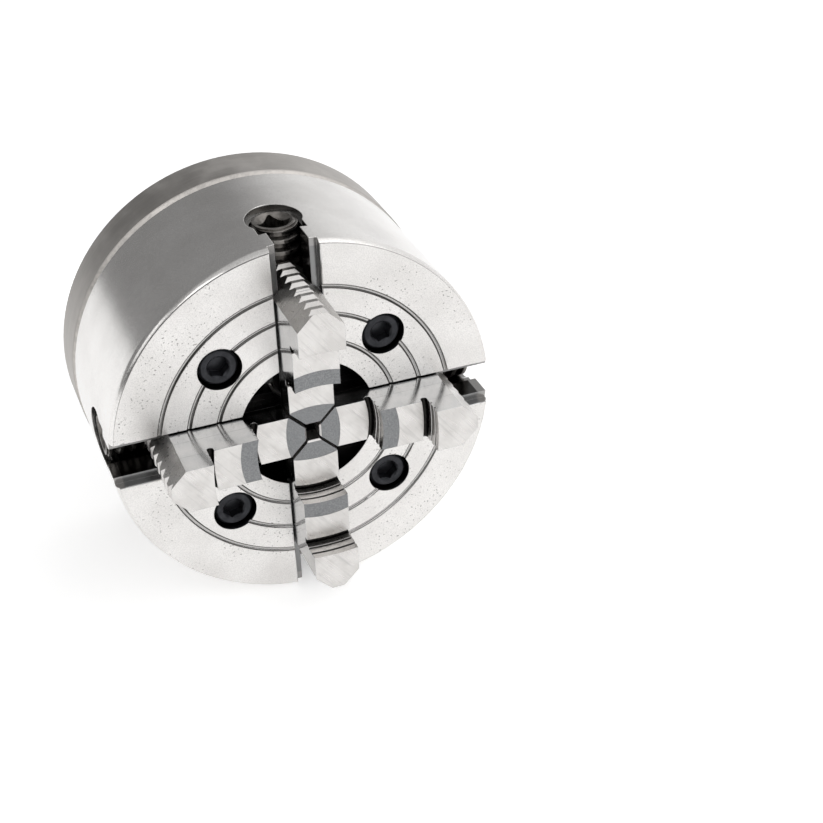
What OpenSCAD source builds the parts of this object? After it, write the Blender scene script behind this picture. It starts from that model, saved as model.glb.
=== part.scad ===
// Four-jaw independent lathe chuck, bolted to a round back plate.
// The chuck's axis lies along Y. The jaws point towards -Y and jaw 1 is at the top.
// The origin is the centre of the back plate's rear face.
// The parts are drawn in a bench frame: +Z along the axis towards the jaws, jaw 1 towards +Y.

/* [Body] */
// Outside diameter of the body
chuck_d = 160; // [158:1:164]
// Length of the body, from the back plate to the face
body_len = 69.5; // [67:0.5:72]
// Hole through the body and the back plate
bore_d = 45; // [40:1:46]
// Wider recess in the face, where the jaws meet
recess_d = 57; // [55:0.5:58]
// Depth of that recess
recess_depth = 42; // [40:1:46]
// Rounding of the body's front edge
face_round = 3.4; // [1:0.1:3.6]
// Chamfer of the body's rear edge
body_chamfer = 1.2; // [0.5:0.1:2]
// Radius of the first of three rings turned in the face
ring_first_r = 37.5; // [36:0.5:38]
// Distance between the rings
ring_step = 11.7; // [11:0.1:12]
// Width of a ring
ring_w = 2; // [1:0.1:2.2]

/* [Back plate] */
// Thickness of the back plate
plate_len = 22.5; // [21:0.5:30]
// Outside diameter of the back plate
plate_d = 161; // [158:0.5:166]
// Chamfer of the back plate's front edge
plate_chamfer = 2.2; // [0.5:0.1:3]
// Register diameter, both between plate and body and on the spindle side
register_d = 65; // [64:1:66]
// Depth of the register recesses
register_depth = 5; // [4:0.5:6]
// Tapping hole of the spindle bolts
spindle_hole_d = 8.5; // [8:0.1:9]

/* [Bolts] */
// Pitch circle of the mounting bolts and the spindle bolts
bolt_circle_d = 95; // [94:0.5:96]
// Thread diameter of the mounting bolts
bolt_d = 10; // [9:0.5:10]
// Width across the flats of the hexagon socket
bolt_hex = 8; // [7:0.5:8]

/* [T-slots] */
// Width of the slot at the face and behind the rails
slot_w = 19.6; // [19:0.1:19.6]
// Chamfer of the slot's edges in the face
slot_chamfer = 0.4; // [0.1:0.1:0.6]
// Gap between the two rails in a slot
rail_gap = 13.6; // [13.4:0.1:13.8]
// Depth of the rails' front sides behind the face
rail_front = 4; // [3.8:0.1:4.2]
// Depth of the rails' rear sides behind the face
rail_back = 14.6; // [14.2:0.1:14.8]

/* [Jaws] */
// Width of a jaw
jaw_w = 18.6; // [18.2:0.1:18.6]
// Width of the flats at a jaw's two pointed ends
jaw_tip_w = 4.8; // [4:0.2:6]
// Distance from the chuck's axis to a nearly closed jaw's tip
jaw_tip_r = 3.85; // [3.85:0.05:4.2]
// Length of a jaw
jaw_len = 60.5; // [58:0.5:62]
// Heights of the three steps above the face
step_h = [7.1, 17.2, 26.7]; // [5:0.1:30]
// Distances of the two curved risers from the chuck's axis
riser_r = [27.2, 47.1]; // [26:0.1:50]
// Radii to which they are ground
riser_arc = [40, 75]; // [30:1:100]
// Depth of a jaw behind the face
jaw_depth = 22; // [21.5:0.1:22]
// Inward setting of each jaw at rest, measured from jaw 1's own position
jaw_set = [0, 0.9, 0, 1.3]; // [0:0.1:1.3]

/* [Screws] */
// Depth of the screw axis behind the face
screw_depth = 27; // [27:0.1:27.4]
// Outside diameter of the thread
thread_d = 19; // [18.6:0.1:19]
// Root diameter of the thread
thread_root_d = 15; // [14.8:0.1:15.2]
// Travel of a jaw for one turn
pitch = 5; // [5:0.5:6]
// Width across the flats of the key socket
key_square = 10; // [9:0.5:10]

/* [Hidden] */
$fn = 96;
over = 1;                       // how far a cutting shape runs past what it cuts

face_z = plate_len + body_len;
plate_rear_edge = 0.4;
register_slack = 0.05;          // spigot to register, on the radius
spigot_gap = 0.5;               // the spigot ends this short of the register's floor

rings = [for (i = [0:2]) ring_first_r + i * ring_step];
ring_depth = 0.9;

bolt_head_d = 16;
bolt_head_h = 10;
bolt_pocket_d = 18;
bolt_pocket_depth = 12;
bolt_hole_d = 11;
bolt_len = 75;
bolt_thread_len = 26;
bolt_pitch = 1.5;
bolt_thread_depth = 0.7;
bolt_slack = 0.1;
bolt_edge = 1;                  // chamfer of the head's rim
hex_chamfer = 0.8;
spindle_hole_depth = 17;

rail_slack = 0.3;               // jaw to rail, on each side
guide_slack = 0.2;              // jaw to rail, front and back
undercut_w = 2.6;
undercut_depth = 2.6;
grip_depth = 0.8;
grip_w = 1.3;
grip_heights = [2.3, 6.1];
band_r = 34;
band_end = [12.4, 34];          // where the two bands end, from the chuck's axis
band_depth = 0.15;
tip_chamfer = 0.7;
tooth_pitch = 5.7;
tooth_gap = 3.7;
tooth_depth = 1.7;
tooth_count = 8;
tooth_first = 0.4;              // the first notch starts this far above the tallest step

screw_in_r = 31;
screw_out_r = 78.6;
screw_bore_d = 19.8;
screw_mouth_d = 22.8;
screw_mouth_depth = 3.4;
screw_mouth_edge = 0.3;
screw_edge = 0.8;
key_round_d = 13.2;
key_depth = 11;
key_mouth_d = 14.8;
neck_d = 11;
neck_r = 49;                    // distance of the neck's middle from the chuck's axis
neck_w = 8;
flank_w = 0.2 * pitch;
crest_w = 0.3 * pitch;
thread_gap = 0.3;
sides = 30;                     // facets in one turn of a thread
screw_turns = 13;               // turns drawn before the screw is cut to length
nut_turns = 15;
nut_half_angle = 62;
nut_sides = 10;

bearing_d = 22;
bearing_slack = 0.05;
bearing_gap = 0.3;              // bearing's round part to the screw bore
lock_d = 5;
lock_slack = 0.05;
lock_len = 8;
lock_hex = 2.5;
lock_inset = 0.4;

// ---- placing -------------------------------------------------------------------------------

// From the bench frame to the part's own frame
module stand() { rotate([90, 0, 0]) children(); }

// One of the four quarters, where jaw k runs; 1 is up, 2 left, 3 down and 4 right
module quarter(k) { rotate([0, 0, 90 * (k - 1)]) children(); }

// Half way between two jaws, where mounting bolt k sits
module bolt_place(k) { rotate([0, 0, 90 * (k - 1) + 45]) translate([0, bolt_circle_d / 2, 0]) children(); }

// Along a screw's axis, outwards from the chuck's axis
module screw_line() { translate([0, 0, face_z - screw_depth]) rotate([-90, 0, 0]) children(); }

module hexagon(flats, height) { cylinder(d = flats / cos(30), h = height, $fn = 6); }

// ---- body and back plate -------------------------------------------------------------------

module rounded_drum(radius, length, round_r, edge) {
    rotate_extrude() {
        translate([0, edge]) square([radius, length - round_r - edge]);
        square([radius - edge, length]);
        square([radius - round_r, length]);
        polygon([[0, 0], [radius - edge, 0], [radius, edge], [0, edge]]);
        intersection() {
            translate([radius - round_r, length - round_r]) circle(round_r);
            square([radius, length]);
        }
    }
}

module t_slot() {
    reach = chuck_d;
    translate([-slot_w / 2, 0, face_z - rail_front]) cube([slot_w, reach, rail_front + over]);
    translate([-rail_gap / 2, 0, face_z - rail_back - over]) cube([rail_gap, reach, rail_back]);
    translate([-slot_w / 2, 0, face_z - screw_depth]) cube([slot_w, reach, screw_depth - rail_back]);
    translate([0, 0, face_z]) rotate([-90, 0, 0]) linear_extrude(reach)
        polygon([[-slot_w / 2, slot_chamfer], [slot_w / 2, slot_chamfer],
                 [slot_w / 2 + slot_chamfer + over, -over], [-slot_w / 2 - slot_chamfer - over, -over]]);
}

module screw_bore() {
    rim_r = chuck_d / 2;
    screw_line() {
        translate([0, 0, recess_d / 2 - 4 * over]) cylinder(d = screw_bore_d, h = chuck_d);
        translate([0, 0, rim_r - screw_mouth_depth]) cylinder(d = screw_mouth_d, h = chuck_d);
        translate([0, 0, rim_r - screw_mouth_edge])
            cylinder(d1 = screw_mouth_d, d2 = screw_mouth_d + 2 * over, h = over);
    }
}

module bearing_bore() {
    translate([0, neck_r, plate_len - over])
        cylinder(d = bearing_d + 2 * bearing_slack, h = body_len - screw_depth + over);
}

module lock_hole() {
    translate([0, neck_r + bearing_d / 2, plate_len - over])
        cylinder(d = lock_d + 2 * lock_slack, h = lock_len + 2 * over);
}

module bolt_pocket() {
    translate([0, 0, plate_len - over]) cylinder(d = bolt_hole_d, h = body_len);
    translate([0, 0, face_z - bolt_pocket_depth]) cylinder(d = bolt_pocket_d, h = bolt_pocket_depth + over);
}

// Round-bottomed ring
module face_ring(radius) {
    bottom_r = (ring_w * ring_w / 4 + ring_depth * ring_depth) / (2 * ring_depth);
    rotate_extrude() translate([radius, face_z + bottom_r - ring_depth]) circle(r = bottom_r, $fn = 48);
}

module chuck_body() {
    color("gainsboro") stand() difference() {
        translate([0, 0, plate_len]) rounded_drum(chuck_d / 2, body_len, face_round, body_chamfer);
        translate([0, 0, plate_len - over]) cylinder(d = bore_d, h = body_len + 2 * over);
        translate([0, 0, face_z - recess_depth]) cylinder(d = recess_d, h = recess_depth + over);
        translate([0, 0, plate_len - over]) cylinder(d = register_d, h = register_depth + over);
        for (radius = rings) face_ring(radius);
        for (k = [1:4]) {
            quarter(k) {
                t_slot();
                screw_bore();
                bearing_bore();
                lock_hole();
            }
            bolt_place(k) bolt_pocket();
        }
    }
}

module back_plate() {
    spigot_len = register_depth - spigot_gap;
    rim = plate_d / 2;
    color("dimgray") stand() difference() {
        union() {
            rotate_extrude() polygon([
                [0, 0], [rim - plate_rear_edge, 0], [rim, plate_rear_edge],
                [rim, plate_len - plate_chamfer], [rim - plate_chamfer, plate_len], [0, plate_len]]);
            cylinder(d = register_d - 2 * register_slack, h = plate_len + spigot_len);
        }
        translate([0, 0, -over]) cylinder(d = bore_d, h = face_z);
        translate([0, 0, -over]) cylinder(d = register_d, h = register_depth + over);
        for (k = [1:4]) {
            bolt_place(k) translate([0, 0, -over])
                cylinder(d = bolt_d + bolt_slack, h = plate_len + 2 * over);
            quarter(k) translate([0, bolt_circle_d / 2, -over])
                cylinder(d = spindle_hole_d, h = spindle_hole_depth + over);
        }
    }
}

// ---- threads -------------------------------------------------------------------------------

// One thread section, [along the axis, radius], widened by gap on every side
function thread_section(gap) = [
    [-gap, thread_root_d / 2 + gap],
    [flank_w - gap, thread_d / 2 + gap],
    [flank_w + crest_w + gap, thread_d / 2 + gap],
    [2 * flank_w + crest_w + gap, thread_root_d / 2 + gap]];

// A point of a left-hand thread: level counts section points upwards, angle is in degrees
function thread_point(level, angle, gap) =
    let (point = thread_section(gap)[level % 4])
    [point[1] * cos(angle), -point[1] * sin(angle),
     point[0] + pitch * (floor(level / 4) + angle / 360)];

// The two triangles of a quad whose corners run a, b upwards and c, d upwards one facet on
function quad(a, b, c, d) = [[a, c, b], [b, c, d]];

// A solid left-hand thread of whole turns, with its first section at height 0 and angle 0
module thread_solid(turns) {
    levels = 4 * turns;
    points = concat(
        [for (side = [0:sides - 1]) for (level = [0:levels - 1])
            thread_point(level, side * 360 / sides, 0)],
        [[0, 0, pitch / 2], [0, 0, pitch * (turns + 0.5)]]);
    low_tip = sides * levels;
    high_tip = low_tip + 1;
    walls = [for (side = [0:sides - 2]) for (level = [0:levels - 2])
        for (face = quad(side * levels + level, side * levels + level + 1,
                         (side + 1) * levels + level, (side + 1) * levels + level + 1)) face];
    last = (sides - 1) * levels;
    // The last facet joins the first one a turn higher
    seam = [for (level = [0:levels - 6])
        for (face = quad(last + level, last + level + 1, level + 4, level + 5)) face];
    low_rim = concat([for (side = [0:sides - 1]) side * levels], [4, 3, 2, 1]);
    high_rim = concat([for (side = [0:sides - 1]) side * levels + levels - 1],
                      [for (drop = [2:5]) last + levels - drop]);
    low_cap = [for (i = [0:len(low_rim) - 1]) [low_rim[(i + 1) % len(low_rim)], low_rim[i], low_tip]];
    high_cap = [for (i = [0:len(high_rim) - 1])
        [high_rim[i], high_rim[(i + 1) % len(high_rim)], high_tip]];
    polyhedron(points, concat(walls, seam, low_cap, high_cap));
}

// The part of such a thread that a half nut faces, as a wedge from the axis, with clearance
module nut_cutter(turns) {
    levels = 4 * turns;
    step = 2 * nut_half_angle / nut_sides;
    columns = nut_sides + 2;    // the last column is the axis
    points = concat(
        [for (side = [0:nut_sides]) for (level = [0:levels - 1])
            thread_point(level, 90 - nut_half_angle + side * step, thread_gap)],
        [for (level = [0:levels - 1]) [0, 0, pitch * level / 4]]);
    axis = (columns - 1) * levels;
    walls = [for (column = [0:columns - 1]) for (level = [0:levels - 2])
        let (here = column * levels + level, next = ((column + 1) % columns) * levels + level)
        for (face = quad(here, here + 1, next, next + 1)) face];
    low_cap = [for (side = [0:nut_sides - 1]) [(side + 1) * levels, side * levels, axis]];
    high_cap = [for (side = [1:nut_sides])
        [side * levels - 1, (side + 1) * levels - 1, axis + levels - 1]];
    polyhedron(points, concat(walls, low_cap, high_cap));
}

// ---- jaws ----------------------------------------------------------------------------------

module jaw_outline() {
    slant = (jaw_w - jaw_tip_w) / 2;
    end_r = jaw_tip_r + jaw_len;
    polygon([
        [-jaw_tip_w / 2, jaw_tip_r], [jaw_tip_w / 2, jaw_tip_r],
        [jaw_w / 2, jaw_tip_r + slant], [jaw_w / 2, end_r - slant],
        [jaw_tip_w / 2, end_r], [-jaw_tip_w / 2, end_r],
        [-jaw_w / 2, end_r - slant], [-jaw_w / 2, jaw_tip_r + slant]]);
}

// Puts the centre line of a riser's curve at the face
module riser_line(i) { translate([0, riser_r[i] - riser_arc[i], face_z]) children(); }

// What is missing in front of a step: everything inside its riser, from the step upwards
module step_space(i) {
    riser_line(i) translate([0, 0, step_h[i]]) cylinder(r = riser_arc[i], h = step_h[2]);
}

// The slot at the foot of a riser, with a round bottom
module undercut(i) {
    middle = riser_arc[i] - undercut_w / 2;
    riser_line(i) rotate_extrude() translate([middle, step_h[i]]) {
        translate([0, -undercut_depth + undercut_w / 2]) circle(d = undercut_w, $fn = 48);
        translate([-undercut_w / 2, -undercut_depth + undercut_w / 2])
            square([undercut_w, undercut_depth - undercut_w / 2 + over]);
    }
}

module grip_grooves(i) {
    for (height = grip_heights)
        riser_line(i) rotate_extrude() translate([riser_arc[i], step_h[i] + height])
            polygon([[-over, -grip_w / 2], [0, -grip_w / 2], [grip_depth, -grip_w / 4],
                     [grip_depth, grip_w / 4], [0, grip_w / 2], [-over, grip_w / 2]]);
}

// Slightly deeper ground band next to a step's inner edge
module ground_band(i) {
    translate([0, band_end[i] - band_r, face_z + step_h[i] - band_depth]) cylinder(r = band_r, h = step_h[2]);
}

// Bevel of the front edge at the jaw's tip
module tip_bevel() {
    translate([-jaw_w / 2, jaw_tip_r, face_z + step_h[0] - band_depth])
        rotate([90, 0, 90]) linear_extrude(jaw_w)
            polygon([[-over, -tip_chamfer - over], [tip_chamfer + over, over], [-over, over]]);
}

module guide_grooves() {
    waist = rail_gap / 2 - rail_slack;
    for (side = [-1, 1])
        translate([side * (waist + jaw_w / 2), chuck_d / 2, face_z - (rail_front + rail_back) / 2])
            cube([jaw_w, chuck_d, rail_back - rail_front + 2 * guide_slack], center = true);
}

// Row of notches across the flat at a jaw's outer end
module end_teeth() {
    end_r = jaw_tip_r + jaw_len;
    for (i = [0:tooth_count - 1])
        translate([-jaw_w / 2, end_r, face_z + step_h[2] + tooth_first - i * tooth_pitch])
            rotate([90, 0, 90]) linear_extrude(jaw_w)
                polygon([[over, -tooth_gap], [over, 0], [0, 0],
                         [-tooth_depth, -tooth_gap * 0.55], [0, -tooth_gap]]);
}

module nut_thread() {
    screw_line() translate([0, 0, -pitch]) nut_cutter(nut_turns);
}

module jaw(k) {
    color("silver") stand() quarter(k) translate([0, -jaw_set[k - 1], 0]) difference() {
        translate([0, 0, face_z - jaw_depth])
            linear_extrude(jaw_depth + step_h[2]) jaw_outline();
        for (i = [0, 1]) {
            step_space(i);
            undercut(i);
            grip_grooves(i);
            ground_band(i);
        }
        tip_bevel();
        guide_grooves();
        end_teeth();
        nut_thread();
    }
}

// ---- screws and their bearings -------------------------------------------------------------

module key_socket() {
    translate([0, 0, screw_out_r - key_depth]) intersection() {
        rotate([0, 0, 45]) translate([-key_square / 2, -key_square / 2, 0])
            cube([key_square, key_square, key_depth + over]);
        cylinder(d = key_round_d, h = key_depth + over);
    }
    cone = (key_mouth_d - key_square) / 2;
    translate([0, 0, screw_out_r - cone])
        cylinder(d1 = key_square, d2 = key_mouth_d + 2 * over, h = cone + over);
}

module neck_groove() {
    translate([0, 0, neck_r - neck_w / 2]) difference() {
        cylinder(d = thread_d + 2 * over, h = neck_w);
        translate([0, 0, -over]) cylinder(d = neck_d, h = neck_w + 2 * over);
    }
}

// A jaw set inwards leaves its screw turned back by the same share of a turn
module jaw_screw(k) {
    turned = -360 * jaw_set[k - 1] / pitch;
    color("dimgray") stand() quarter(k) screw_line() difference() {
        intersection() {
            rotate([0, 0, turned]) translate([0, 0, 4 * pitch]) thread_solid(screw_turns);
            translate([0, 0, screw_in_r]) union() {
                cylinder(d = thread_d + 2 * over, h = screw_out_r - screw_in_r - screw_edge);
                cylinder(d = thread_d - 2 * screw_edge, h = screw_out_r - screw_in_r);
            }
        }
        neck_groove();
        key_socket();
    }
}

module thrust_bearing(k) {
    lip_w = neck_w - 2 * bearing_slack;
    height = body_len - screw_depth;
    color("darkgray") stand() quarter(k) difference() {
        translate([0, neck_r, plate_len]) union() {
            cylinder(d = bearing_d, h = height - screw_bore_d / 2 - bearing_gap);
            intersection() {
                cylinder(d = bearing_d, h = height);
                translate([-bearing_d / 2, -lip_w / 2, 0]) cube([bearing_d, lip_w, height]);
            }
        }
        screw_line() cylinder(d = neck_d + 2 * bearing_slack, h = chuck_d);
        lock_hole();
    }
}

module bearing_lock_screw(k) {
    color("black") stand() quarter(k)
        translate([0, neck_r + bearing_d / 2, plate_len + lock_inset]) difference() {
            cylinder(d = lock_d, h = lock_len);
            translate([0, 0, -over]) hexagon(lock_hex, lock_len / 2 + over);
        }
}

// ---- mounting bolts ------------------------------------------------------------------------

module bolt_groove(height) {
    rotate_extrude() translate([bolt_d / 2, height])
        polygon([[over, -bolt_pitch / 2], [0, -bolt_pitch / 2], [-bolt_thread_depth, 0],
                 [0, bolt_pitch / 2], [over, bolt_pitch / 2]]);
}

module mounting_bolt(k) {
    seat = face_z - bolt_pocket_depth;
    color("black") stand() bolt_place(k) translate([0, 0, seat]) difference() {
        union() {
            cylinder(d = bolt_head_d, h = bolt_head_h - bolt_edge);
            translate([0, 0, bolt_head_h - bolt_edge])
                cylinder(d1 = bolt_head_d, d2 = bolt_head_d - 2 * bolt_edge, h = bolt_edge);
            translate([0, 0, -bolt_len]) cylinder(d = bolt_d, h = bolt_len + over);
        }
        translate([0, 0, bolt_head_h / 2]) hexagon(bolt_hex, bolt_head_h);
        translate([0, 0, bolt_head_h - hex_chamfer])
            cylinder(d1 = bolt_hex, d2 = bolt_hex + 2 * (hex_chamfer + over), h = hex_chamfer + over);
        for (height = [bolt_pitch / 2:bolt_pitch:bolt_thread_len]) translate([0, 0, -bolt_len])
            bolt_groove(height);
    }
}

// ---- drawing -------------------------------------------------------------------------------

chuck_body();
back_plate();
for (k = [1:4]) {
    jaw(k);
    jaw_screw(k);
    thrust_bearing(k);
    bearing_lock_screw(k);
    mounting_bolt(k);
}
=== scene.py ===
"""Looks of the four-jaw lathe chuck: materials, floor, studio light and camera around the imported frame.

The chuck's axis lies along Y, its face at FACE_Y looks towards -Y and jaw 1 is at the top.
Every material works in the part's own coordinates, so each finish stays on its piece when it moves.
"""

import math

import bpy
from mathutils import Matrix, Vector


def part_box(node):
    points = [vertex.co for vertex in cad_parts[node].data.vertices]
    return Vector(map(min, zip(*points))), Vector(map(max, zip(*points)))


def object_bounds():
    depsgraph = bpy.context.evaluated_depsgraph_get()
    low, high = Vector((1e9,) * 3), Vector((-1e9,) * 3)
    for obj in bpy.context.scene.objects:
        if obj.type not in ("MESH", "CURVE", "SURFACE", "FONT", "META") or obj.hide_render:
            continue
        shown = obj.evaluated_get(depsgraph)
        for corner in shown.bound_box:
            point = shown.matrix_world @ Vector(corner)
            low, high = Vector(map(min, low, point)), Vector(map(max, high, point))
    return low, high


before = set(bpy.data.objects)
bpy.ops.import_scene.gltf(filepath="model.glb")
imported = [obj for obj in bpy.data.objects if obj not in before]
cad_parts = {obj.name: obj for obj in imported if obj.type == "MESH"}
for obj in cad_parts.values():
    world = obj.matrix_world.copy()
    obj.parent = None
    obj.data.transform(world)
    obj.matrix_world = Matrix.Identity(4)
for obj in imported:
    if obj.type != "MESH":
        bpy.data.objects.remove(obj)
cad_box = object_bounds()

MM = 0.001

# the body: face plane, outer radius, rounded front edge, central recess, lips of the slots
body_low, body_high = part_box("chuck_body")
FACE_Y = body_low[1]
OUTER_R = body_high[0]
ROUNDING = 3.4 * MM
ROUNDING_R = OUTER_R - ROUNDING
RECESS_R = 28.5 * MM
LIP_DEPTH = 4.3 * MM
SCREW_MOUTH_R = OUTER_R - 3.4 * MM

# the rings turned in the face
RINGS = (37.5 * MM, 49.2 * MM, 60.9 * MM)
RING_HALF = 1.0 * MM
RING_DEPTH = 0.9 * MM

# the back plate: bore, joint with the body and width of the worn edge behind it
PLATE_BORE_R = 22.5 * MM
JOINT_Y = -22.5 * MM
WORN_WIDTH = 1.9 * MM

# the jaws: for each curved riser the step's height, the riser's distance from the axis and its radius
STEPS = ((7.1 * MM, 27.2 * MM, 40.0 * MM), (17.2 * MM, 47.1 * MM, 75.0 * MM))
JAW_HALF_W = 9.3 * MM
# the steps' inner edges are let in by BAND_DEPTH; each riser has an undercut at its foot and above it
# grooves, GRIP_DEPTH deep and less than GRIP_TOP over the step
BAND_DEPTH = 0.15 * MM
UNDERCUT_W = 2.6 * MM
UNDERCUT_DEPTH = 2.6 * MM
GRIP_DEPTH = 0.8 * MM
GRIP_TOP = 9.0 * MM
# deep in the slots the jaws are darkened with oil and painted shade up to the first radius, and not at all
# from the second
OIL_SHADE_R, OIL_SHADE_END_R = 30 * MM, 36 * MM
GRINDING_ANGLE = math.radians(38)
# each jaw's axis letter, side and distance set inwards
JAWS = {1: ("z", 1.0, 0.0), 2: ("x", -1.0, 0.9 * MM), 3: ("z", -1.0, 0.0), 4: ("x", 1.0, 1.3 * MM)}

# the jaw screws
SCREW_Y = FACE_Y + 27 * MM
THREAD_R = 9.5 * MM

# the studio
FLOOR_Z = cad_box[0][2]
FLOOR_HALF = 6.0
FLOOR_GLOW = 0.42
LIGHT_AIM = (0.0, -0.1, 0.0)


# ---- node helpers --------------------------------------------------------------------------


class Tree:
    """Short calls for building a node tree."""

    def __init__(self, node_tree):
        self.nodes = node_tree.nodes
        self.links = node_tree.links

    def add(self, kind, settings=None, **inputs):
        node = self.nodes.new(kind)
        for key, value in (settings or {}).items():
            setattr(node, key, value)
        for key, value in inputs.items():
            self.set(node.inputs[key.replace("_", " ")], value)
        return node

    def set(self, socket, value):
        if isinstance(value, bpy.types.NodeSocket):
            self.links.new(value, socket)
        else:
            socket.default_value = value

    def math(self, operation, first, second=0.0, third=0.0):
        node = self.nodes.new("ShaderNodeMath")
        node.operation = operation
        for socket, value in zip(node.inputs, (first, second, third)):
            self.set(socket, value)
        return node.outputs[0]

    def plus(self, first, second):
        return self.math("ADD", first, second)

    def minus(self, first, second):
        return self.math("SUBTRACT", first, second)

    def times(self, first, second):
        return self.math("MULTIPLY", first, second)

    def most(self, first, second):
        return self.math("MAXIMUM", first, second)

    def ramp(self, value, low, high, from_value=0.0, to_value=1.0):
        """from_value below low, to_value above high, smooth between."""
        node = self.add("ShaderNodeMapRange", {"interpolation_type": "SMOOTHSTEP"})
        for socket, number in zip(node.inputs, (value, low, high, from_value, to_value)):
            self.set(socket, number)
        return node.outputs[0]

    def mix(self, factor, first, second):
        node = self.add("ShaderNodeMix", {"data_type": "RGBA"})
        self.set(node.inputs[0], factor)
        self.set(node.inputs[6], first)
        self.set(node.inputs[7], second)
        return node.outputs[2]

    def noise(self, vector, scale, detail=2.0, roughness=0.5):
        return self.add("ShaderNodeTexNoise", Vector=vector, Scale=scale, Detail=detail,
                        Roughness=roughness).outputs[0]

    def scaled(self, vector, scale, rotation=(0.0, 0.0, 0.0)):
        return self.add("ShaderNodeMapping", Vector=vector, Scale=scale, Rotation=rotation).outputs[0]

    def position(self):
        """The piece's own coordinates and their X, Y and Z."""
        vector = self.add("ShaderNodeTexCoord").outputs["Object"]
        parts = self.add("ShaderNodeSeparateXYZ", Vector=vector)
        return vector, parts.outputs[0], parts.outputs[1], parts.outputs[2]

    def combine(self, x, y, z):
        node = self.nodes.new("ShaderNodeCombineXYZ")
        for socket, value in zip(node.inputs, (x, y, z)):
            self.set(socket, value)
        return node.outputs[0]

    def length(self, first, second):
        """Length of the vector with these two parts."""
        return self.math("SQRT", self.plus(self.times(first, first), self.times(second, second)))

    def fall(self, value, low, high):
        """1 below low, 0 above high, smooth between."""
        return self.ramp(value, low, high, 1.0, 0.0)

    def between(self, value, low, high, soft=0.05 * MM):
        """1 between low and high, 0 outside."""
        return self.times(self.ramp(value, low - soft, low + soft),
                          self.fall(value, high - soft, high + soft))


class Finish(Tree):
    """A material's node tree, around one shader."""

    def __init__(self, name):
        self.material = bpy.data.materials.new(name)
        self.material.use_nodes = True
        super().__init__(self.material.node_tree)
        self.nodes.clear()
        self.shader = self.nodes.new("ShaderNodeBsdfPrincipled")
        output = self.nodes.new("ShaderNodeOutputMaterial")
        self.links.new(self.shader.outputs[0], output.inputs["Surface"])

    def surface(self, height, distance, strength, edge):
        """Bump from a height, on top of edges rounded by the radius edge."""
        bevel = self.add("ShaderNodeBevel", {"samples": 4}, Radius=edge)
        bump = self.add("ShaderNodeBump", Height=height, Distance=distance, Strength=strength,
                        Normal=bevel.outputs[0])
        self.set(self.shader.inputs["Normal"], bump.outputs[0])

    def finish(self, **values):
        for key, value in values.items():
            self.set(self.shader.inputs[key.replace("_", " ")], value)
        return self.material


def grey(value, warmth=0.0):
    """A neutral colour; warmth lifts red and lowers blue."""
    return (value * (1 + warmth), value, value * (1 - warmth), 1.0)


# ---- materials -----------------------------------------------------------------------------


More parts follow.
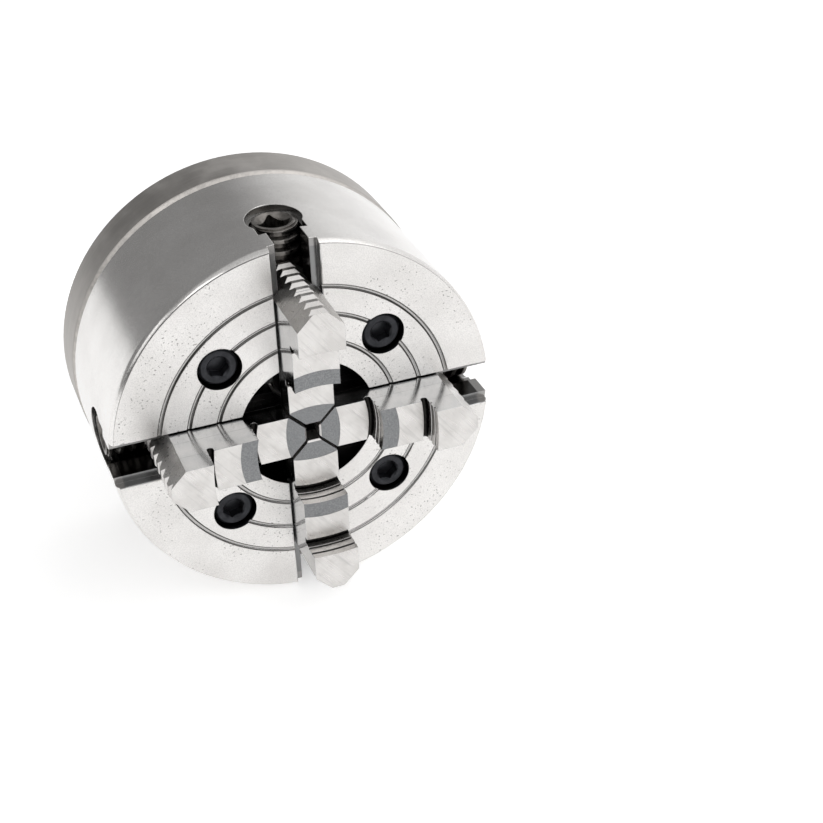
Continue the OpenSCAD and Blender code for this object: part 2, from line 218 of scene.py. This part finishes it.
def ground_iron():
    """Ground cast body: porous bright face, circular grinding on the rim, insides made dark with oil and
    painted shade.
    """
    tree = Finish("ground_iron")
    place, x, y, z = tree.position()
    radius = tree.length(x, z)
    angle = tree.math("ARCTAN2", z, x)
    depth = tree.minus(y, FACE_Y)
    on_face = tree.fall(depth, 0.05 * MM, 0.12 * MM)
    # distance from the circle at the rounding's centre; further back, from the cylinder through it
    corner = tree.length(tree.most(tree.minus(radius, ROUNDING_R), 0.0),
                         tree.most(tree.minus(ROUNDING, depth), 0.0))
    on_rim = tree.ramp(corner, ROUNDING - 0.2 * MM, ROUNDING - 0.1 * MM)
    outside = tree.most(on_face, on_rim)

    # insides: dark oil and painted shade, with painted light on the slot lips fading with depth, less
    # painted shade at the screw mouths, and rings with a painted-shade inner wall
    lip = tree.times(tree.between(depth, 0.0, LIP_DEPTH), tree.ramp(radius, RECESS_R, RECESS_R + 0.5 * MM))
    # painted light on the slot lips: lighter near the face, darker deeper in
    lip_painted_light = tree.ramp(depth, 0.4 * MM, 1.2 * MM, 0.5, 0.22)
    # near black on the insides: dark oil with painted shade
    inside = tree.mix(lip, grey(0.035, 0.03), tree.combine(lip_painted_light, lip_painted_light, lip_painted_light))
    # painted light near the rim: insides next to the rim get a mid grey, less painted shade than deeper in
    mouth = tree.ramp(radius, SCREW_MOUTH_R - 0.3 * MM, SCREW_MOUTH_R)
    inside = tree.mix(mouth, inside, grey(0.30, 0.02))
    shallow = tree.fall(depth, RING_DEPTH, RING_DEPTH + 0.1 * MM)
    # painted shade on the inner wall of each ring groove; the rest of the groove keeps a mid grey
    for ring in RINGS:
        wall_end = ring - 0.25 * RING_HALF
        for start, end, tone in ((ring - RING_HALF, wall_end, grey(0.10, 0.03)),
                                 (wall_end, ring + RING_HALF, grey(0.42, 0.02))):
            inside = tree.mix(tree.times(tree.between(radius, start, end), shallow), inside, tone)

    # outsides: blotches and fine grain, pores in patches of the face, and a painted dark reflection round
    # its edge
    rings = tree.noise(tree.combine(tree.times(y, 2600.0), tree.times(angle, 2.0), 0.0), 1.0, 3.0)
    grain = tree.noise(place, 2600.0, 3.0, 0.6)
    blotch = tree.noise(place, 45.0, 3.0, 0.5)
    pores = tree.ramp(tree.noise(place, 1100.0, 2.0, 0.4), 0.64, 0.70)
    pore_zone = tree.ramp(tree.noise(place, 60.0, 2.0), 0.38, 0.60)
    pores = tree.times(tree.times(pores, pore_zone), on_face)
    bright = tree.mix(tree.ramp(blotch, 0.3, 0.7), grey(0.73, 0.025), grey(0.83, 0.02))
    bright = tree.mix(tree.times(tree.ramp(grain, 0.35, 0.7), 0.5), bright, grey(0.5, 0.02))
    bright = tree.mix(tree.times(pores, 0.75), bright, grey(0.16, 0.05))
    # painted reflection: a dark band on the front part of the rounded edge, where it would mirror dark
    # surroundings
    rounding_painted_reflection = tree.times(tree.between(depth, 0.15 * MM, 0.8 * MM, 0.08 * MM),
                           tree.ramp(radius, ROUNDING_R, ROUNDING_R + 0.3 * MM))
    bright = tree.mix(rounding_painted_reflection, bright, grey(0.36, 0.01))
    colour = tree.mix(outside, inside, bright)

    rough_face = tree.ramp(grain, 0.3, 0.7, 0.34, 0.48)
    rough_rim = tree.ramp(rings, 0.3, 0.7, 0.17, 0.25)
    rough = tree.plus(tree.times(rough_face, on_face), tree.times(rough_rim, tree.minus(1.0, on_face)))
    height = tree.plus(tree.times(rings, tree.ramp(on_face, 0.0, 1.0, 0.45, 0.0)),
                       tree.times(grain, on_face))
    height = tree.minus(height, tree.times(pores, 2.0))
    tree.surface(height, 0.02 * MM, 0.6, edge=0.35 * MM)
    return tree.finish(Base_Color=colour, Roughness=rough, Metallic=1.0)


def turned_iron():
    """Dull turned back plate with a worn bright front edge and a bore painted dark as shade."""
    tree = Finish("turned_iron")
    place, x, y, z = tree.position()
    angle = tree.math("ARCTAN2", z, x)
    radius = tree.length(x, z)
    turning = tree.combine(tree.times(y, 1500.0), tree.times(radius, 1500.0), tree.times(angle, 1.5))
    rings = tree.noise(turning, 1.0, 3.0)
    blotch = tree.noise(place, 60.0, 4.0, 0.6)
    colour = tree.mix(tree.ramp(blotch, 0.3, 0.75), grey(0.36, 0.05), grey(0.50, 0.04))
    colour = tree.mix(tree.times(tree.ramp(rings, 0.45, 0.8), 0.4), colour, grey(0.5, 0.04))
    # painted shade: inside the bore the colour is near black
    outside_bore = tree.ramp(radius, PLATE_BORE_R + 0.1 * MM, PLATE_BORE_R + 0.4 * MM)
    colour = tree.mix(outside_bore, grey(0.03), colour)
    joint = tree.between(y, JOINT_Y - 0.2 * MM, JOINT_Y + WORN_WIDTH, 0.3 * MM)
    worn = tree.times(joint, tree.ramp(tree.noise(place, 500.0, 3.0, 0.6), 0.35, 0.6, 0.4, 1.0))
    colour = tree.mix(worn, colour, grey(0.58, 0.05))
    tree.surface(rings, 0.03 * MM, 0.8, edge=0.4 * MM)
    return tree.finish(Base_Color=colour, Roughness=tree.ramp(blotch, 0.3, 0.7, 0.42, 0.58), Metallic=1.0)


def ground_steel(name, along, sign, inset):
    """Hardened jaw: bright flats, darker bands at the steps' inner edges, oil and painted shade in the
    undercuts, painted shade in the grooves.

    The jaw runs out along the axis letter, to the side given by sign; it is set inwards by inset.
    """
    tree = Finish(name)
    place, x, y, z = tree.position()
    run, across = (z, x) if along == "z" else (x, z)
    run = tree.math("MULTIPLY_ADD", run, sign, inset)
    height = tree.minus(FACE_Y, y)
    on_side = tree.ramp(tree.math("ABSOLUTE", across), JAW_HALF_W - 0.12 * MM, JAW_HALF_W - 0.06 * MM)
    inner = tree.minus(1.0, on_side)
    band = undercut_oil_and_shade = grooves = 0.0
    for step, apex, riser in STEPS:
        radius = tree.length(across, tree.plus(run, riser - apex))
        near = tree.between(height, step - 1.4 * BAND_DEPTH, step - 0.6 * BAND_DEPTH, 0.015 * MM)
        slot = tree.times(tree.between(radius, riser - UNDERCUT_W - 0.1 * MM, riser + 0.1 * MM),
                          tree.between(height, step - UNDERCUT_DEPTH - 0.4 * MM, step - 1.2 * MM, 0.3 * MM))
        groove = tree.times(tree.between(radius, riser + 0.15 * MM, riser + GRIP_DEPTH + 0.4 * MM),
                            tree.between(height, step + 0.3 * MM, step + GRIP_TOP))
        band = tree.most(band, near)
        undercut_oil_and_shade = tree.most(undercut_oil_and_shade, slot)
        grooves = tree.most(grooves, groove)

    turned = tree.scaled(place, (1.0, 1.0, 1.0), (0.0, GRINDING_ANGLE, 0.0))
    scratch = tree.noise(tree.scaled(turned, (900.0, 900.0, 60.0)), 1.0, 4.0, 0.6)
    grain = tree.noise(place, 1800.0, 3.0, 0.6)
    blotch = tree.noise(place, 120.0, 3.0)
    patches = tree.ramp(blotch, 0.3, 0.7)
    flats = tree.mix(patches, grey(0.56, 0.03), grey(0.66, 0.025))
    flats = tree.mix(tree.times(tree.ramp(scratch, 0.5, 0.75), 0.45), flats, grey(0.40, 0.02))
    sides = tree.mix(patches, grey(0.56, -0.01), grey(0.66, 0.0))
    bands = tree.mix(tree.ramp(grain, 0.35, 0.7), grey(0.19, -0.03), grey(0.27, -0.01))
    # near the central recess, below the face, the jaws are made near black: oil and painted shade
    recess_oil_and_shade = tree.times(tree.fall(height, -1.5 * MM, -0.5 * MM), tree.fall(run, OIL_SHADE_R, OIL_SHADE_END_R))
    colour = tree.mix(band, tree.mix(on_side, flats, sides), bands)
    colour = tree.mix(recess_oil_and_shade, colour, grey(0.06, 0.02))
    # painted shade in the grip grooves on the risers
    colour = tree.mix(tree.times(grooves, inner), colour, grey(0.13, 0.03))
    # undercuts near black: oil with painted shade
    colour = tree.mix(tree.times(undercut_oil_and_shade, inner), colour, grey(0.02, 0.05))

    flat = tree.plus(tree.ramp(scratch, 0.3, 0.7, 0.26, 0.36), tree.times(band, 0.1))
    polished = tree.ramp(blotch, 0.3, 0.7, 0.13, 0.2)
    rough = tree.plus(tree.times(polished, on_side), tree.times(flat, inner))
    relief = tree.plus(scratch, tree.times(grain, 0.4))
    relief = tree.times(relief, tree.ramp(on_side, 0.0, 1.0, 1.0, 0.25))
    tree.surface(relief, 0.02 * MM, 0.6, edge=0.25 * MM)
    return tree.finish(Base_Color=colour, Roughness=rough, Metallic=1.0)


def oiled_steel(name, along):
    """Dark oiled screw with worn thread crests; along is the axis letter of the screw."""
    tree = Finish(name)
    place, x, y, z = tree.position()
    off_axis = tree.length(tree.minus(y, SCREW_Y), x if along == "z" else z)
    worn = tree.ramp(off_axis, THREAD_R - 0.5 * MM, THREAD_R - 0.05 * MM)
    blotch = tree.noise(place, 400.0, 4.0, 0.6)
    colour = tree.mix(tree.ramp(blotch, 0.3, 0.7), grey(0.10, 0.08), grey(0.22, 0.06))
    colour = tree.mix(tree.times(worn, 0.6), colour, grey(0.42, 0.05))
    tree.surface(blotch, 0.03 * MM, 0.6, edge=0.3 * MM)
    return tree.finish(Base_Color=colour, Roughness=tree.ramp(blotch, 0.3, 0.7, 0.25, 0.42), Metallic=1.0)


def plain_steel():
    """Turned steel of the hidden bearings."""
    tree = Finish("plain_steel")
    place = tree.position()[0]
    rings = tree.noise(tree.scaled(place, (100.0, 1800.0, 100.0)), 1.0, 2.0)
    colour = tree.mix(tree.ramp(rings, 0.3, 0.7), grey(0.38), grey(0.5))
    tree.surface(rings, 0.02 * MM, 0.5, edge=0.3 * MM)
    return tree.finish(Base_Color=colour, Roughness=0.35, Metallic=1.0)


def black_oxide():
    """Satin black screws."""
    tree = Finish("black_oxide")
    place = tree.position()[0]
    grain = tree.noise(place, 1500.0, 3.0, 0.6)
    blotch = tree.noise(place, 300.0, 2.0)
    dark, light = (0.012, 0.013, 0.016, 1.0), (0.03, 0.031, 0.036, 1.0)
    colour = tree.mix(tree.ramp(blotch, 0.3, 0.7), dark, light)
    tree.surface(grain, 0.02 * MM, 0.5, edge=0.3 * MM)
    return tree.finish(Base_Color=colour, Roughness=tree.ramp(grain, 0.3, 0.7, 0.3, 0.42), Metallic=0.6)


def paint(node, material):
    """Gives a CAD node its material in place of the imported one."""
    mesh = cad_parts[node].data
    mesh.materials.clear()
    mesh.materials.append(material)


paint("chuck_body", ground_iron())
paint("back_plate", turned_iron())
bearing_steel = plain_steel()
screw_black = black_oxide()
for k, (along, sign, inset) in JAWS.items():
    paint(f"jaw_{k}", ground_steel(f"ground_steel_{k}", along, sign, inset))
    paint(f"jaw_screw_{k}", oiled_steel(f"oiled_steel_{k}", along))
    paint(f"thrust_bearing_{k}", bearing_steel)
    paint(f"bearing_lock_screw_{k}", screw_black)
    paint(f"mounting_bolt_{k}", screw_black)


# ---- studio --------------------------------------------------------------------------------


def floor():
    """A wide white floor under the back plate's rim, lit a little from within."""
    corners = [(x * FLOOR_HALF, y * FLOOR_HALF, FLOOR_Z) for x, y in ((-1, -1), (1, -1), (1, 1), (-1, 1))]
    mesh = bpy.data.meshes.new("floor")
    mesh.from_pydata(corners, [], [(0, 1, 2, 3)])
    plane = bpy.data.objects.new("floor", mesh)
    bpy.context.scene.collection.objects.link(plane)
    tree = Finish("floor_white")
    mesh.materials.append(tree.finish(Base_Color=grey(0.9), Roughness=0.7, Metallic=0.0,
                                      Emission_Color=grey(1.0), Emission_Strength=FLOOR_GLOW))


def softbox(name, place, size, power):
    """A rectangular lamp that faces the chuck."""
    data = bpy.data.lights.new(name, "AREA")
    data.shape = "RECTANGLE"
    data.size, data.size_y = size
    data.energy = power
    lamp = bpy.data.objects.new(name, data)
    lamp.location = place
    lamp.rotation_mode = "QUATERNION"
    lamp.rotation_quaternion = (Vector(LIGHT_AIM) - Vector(place)).to_track_quat("-Z", "Y")
    bpy.context.scene.collection.objects.link(lamp)


def studio_world():
    """Studio walls: grey at the left, white at the right, dark low at the front and bright above it."""
    world = bpy.data.worlds.new("studio")
    world.use_nodes = True
    bpy.context.scene.world = world
    tree = Tree(world.node_tree)
    direction = tree.add("ShaderNodeTexCoord").outputs["Generated"]
    right, back, up = tree.add("ShaderNodeSeparateXYZ", Vector=direction).outputs
    sideways = tree.ramp(right, 0.06, 0.6, 0.27, 1.02)
    front = tree.ramp(up, 0.15, 0.5, 0.2, 1.3)
    depthwise = tree.ramp(back, -0.35, 0.05, front, 1.0)
    overhead = tree.ramp(up, 0.58, 0.8, 1.0, 1.2)
    background = tree.nodes["Background"]
    tree.set(background.inputs["Color"], tree.times(tree.times(sideways, depthwise), overhead))
    tree.set(background.inputs["Strength"], 1.0)


def camera():
    """The chuck seen from the front, a little from the left and from above, with a slight roll."""
    place = Vector((-0.1444, -0.5938, 0.3365))
    aim = Vector((0.0397, -0.1048, 0.0028))
    roll = math.radians(1.933)
    data = bpy.data.cameras.new("camera")
    data.sensor_width = 36.0
    data.lens = 67.36
    eye = bpy.data.objects.new("camera", data)
    eye.location = place
    eye.rotation_mode = "QUATERNION"
    turn = Matrix.Rotation(-roll, 3, "Z")
    eye.rotation_quaternion = ((aim - place).to_track_quat("-Z", "Y").to_matrix() @ turn).to_quaternion()
    bpy.context.scene.collection.objects.link(eye)
    bpy.context.scene.camera = eye


floor()
studio_world()
softbox("overhead", (0.1, 0.0, 1.9), (2.6, 2.6), 5.0)
softbox("front", (0.78, -2.05, 1.38), (2.2, 1.6), 11.0)
softbox("front_left", (-0.9, -1.3, 1.45), (1.2, 1.2), 7.0)
softbox("left", (-1.84, -0.45, 0.92), (0.8, 1.0), 2.5)
camera()
bpy.context.scene.view_settings.view_transform = "Standard"
